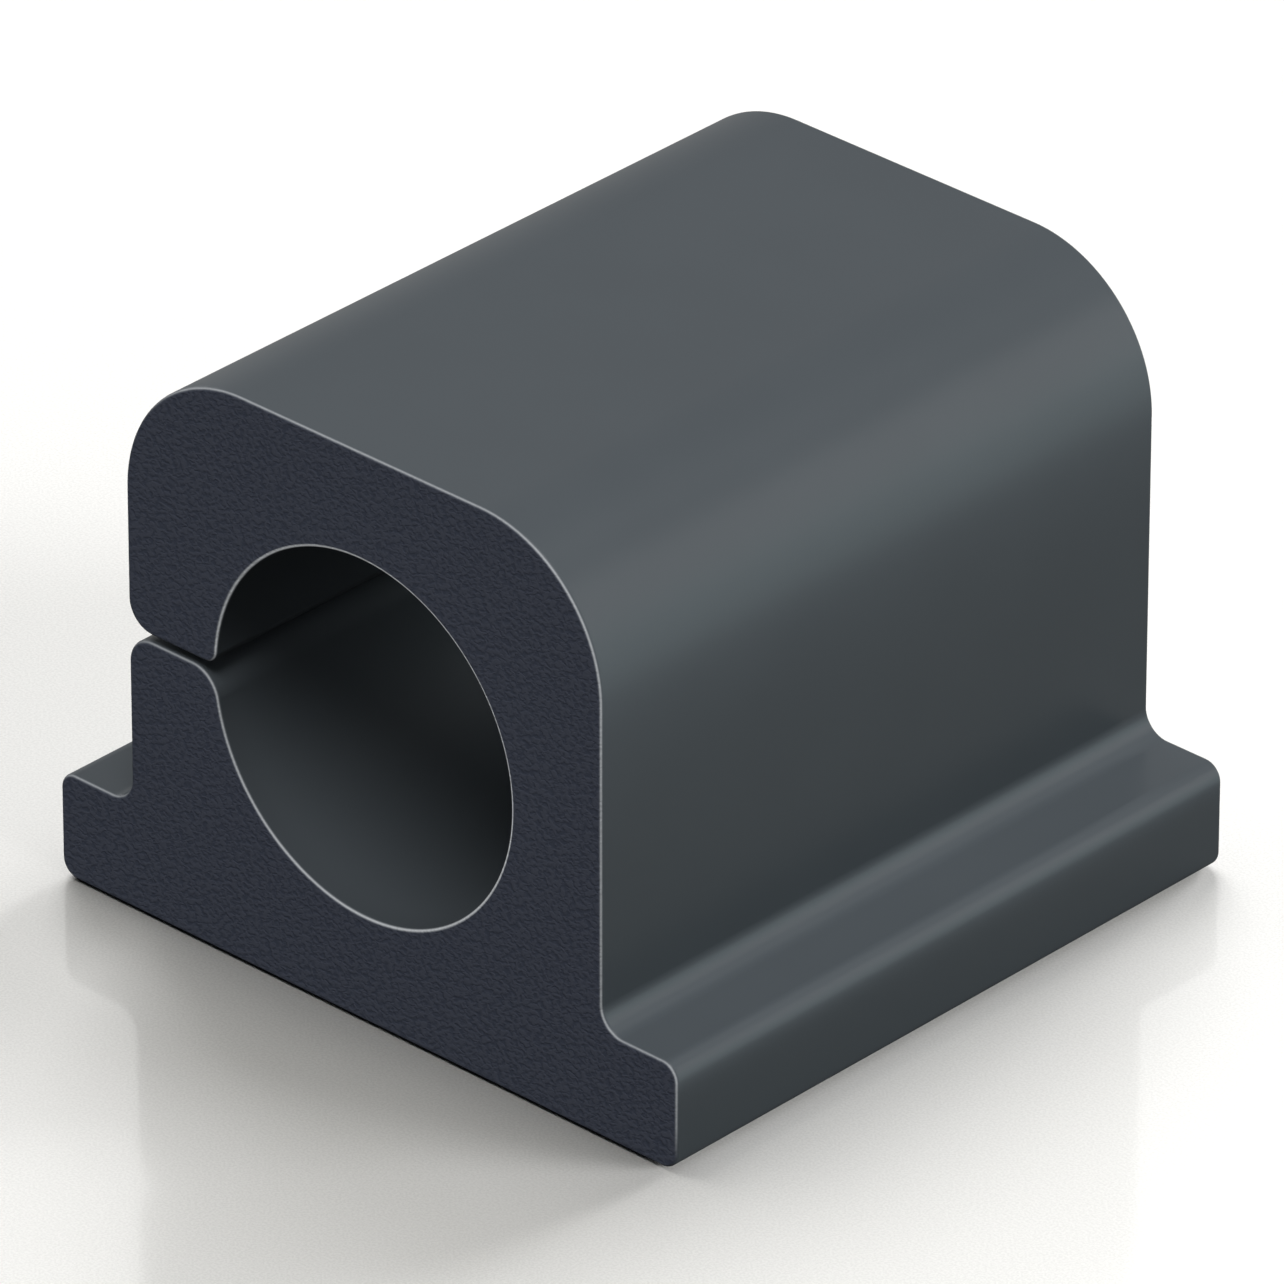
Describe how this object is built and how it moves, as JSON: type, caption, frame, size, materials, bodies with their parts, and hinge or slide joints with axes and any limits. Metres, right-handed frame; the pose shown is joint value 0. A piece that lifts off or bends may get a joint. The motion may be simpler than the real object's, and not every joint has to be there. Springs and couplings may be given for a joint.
{
  "type": "adhesive cable clip",
  "caption": "Soft graphite cable clip with a round bore, a slit in its side to push the cable through, a wide foot and an adhesive pad under it.",
  "frame": {"origin": "on the surface the clip is stuck to, under the middle of the clip", "axes": "+X across the clip, away from the slit side; +Y along the cable; +Z away from the surface"},
  "size_m": [0.021, 0.02, 0.016],
  "materials": {
    "graphite_rubber": "satin graphite skin, finely grained on the two end faces",
    "adhesive_foam": "tacky acrylic foam tape"
  },
  "bodies": {
    "root": {"clip_body": "graphite_rubber", "adhesive_pad": "adhesive_foam"}
  },
  "joints": []
}
